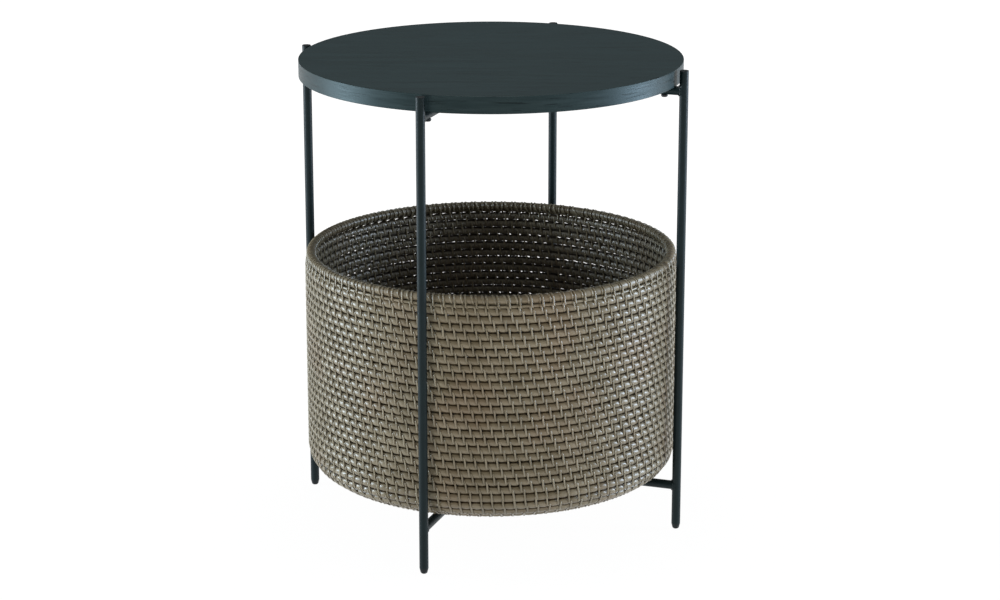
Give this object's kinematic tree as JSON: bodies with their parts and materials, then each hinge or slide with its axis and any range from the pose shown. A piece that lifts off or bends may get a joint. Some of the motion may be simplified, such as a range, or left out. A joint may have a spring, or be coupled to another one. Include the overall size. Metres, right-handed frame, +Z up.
{
  "type": "side table with basket",
  "caption": "Round side table with a veneered top screwed to a welded frame of upright tube legs and rod crosses, and a loose coiled rattan basket standing on the lower cross.",
  "frame": {"origin": "on the floor, under the middle of the round top", "axes": "+Z up, front leg at -Y, right leg at +X"},
  "size_m": [0.457, 0.457, 0.534],
  "materials": {
    "board_core": "raw fibreboard",
    "top_veneer": "dark grey stain, satin, fine grain in one direction",
    "backing_veneer": "dark grey stain, matte",
    "edge_veneer": "grey-blue stain, satin, grain round the edge",
    "frame_paint": "charcoal powder coat, satin",
    "plug_plastic": "moulded, matte",
    "screw_black": "black zinc",
    "rattan": "grey-washed cane, matte to satin",
    "rattan_core": "raw round cane"
  },
  "bodies": {
    "frame": {"table_top_core": "board_core", "table_top_face_veneer": "top_veneer", "table_top_backing_veneer": "backing_veneer", "table_top_edge_strip": "edge_veneer", "front_leg_tube": "frame_paint", "right_leg_tube": "frame_paint", "back_leg_tube": "frame_paint", "left_leg_tube": "frame_paint", "front_leg_top_plug": "plug_plastic", "right_leg_top_plug": "plug_plastic", "back_leg_top_plug": "plug_plastic", "left_leg_top_plug": "plug_plastic", "front_leg_glide": "plug_plastic", "right_leg_glide": "plug_plastic", "back_leg_glide": "plug_plastic", "left_leg_glide": "plug_plastic", "upper_cross_long_rod": "frame_paint", "upper_cross_front_rod": "frame_paint", "upper_cross_back_rod": "frame_paint", "lower_cross_long_rod": "frame_paint", "lower_cross_front_rod": "frame_paint", "lower_cross_back_rod": "frame_paint", "upper_leg_weld_beads": "frame_paint", "lower_leg_weld_beads": "frame_paint", "upper_middle_weld_bead": "frame_paint", "lower_middle_weld_bead": "frame_paint", "top_screws": "screw_black"},
    "basket": {"basket_floor_coil": "rattan", "basket_wall_coil": "rattan", "basket_locking_strand": "rattan", "basket_rim_core": "rattan_core", "basket_rim_binding": "rattan"}
  },
  "joints": [
    {"name": "basket_lift", "type": "slide", "parent": "frame", "child": "basket", "axis": [0, 0, 1], "range_m": [0, 0.1865]}
  ]
}
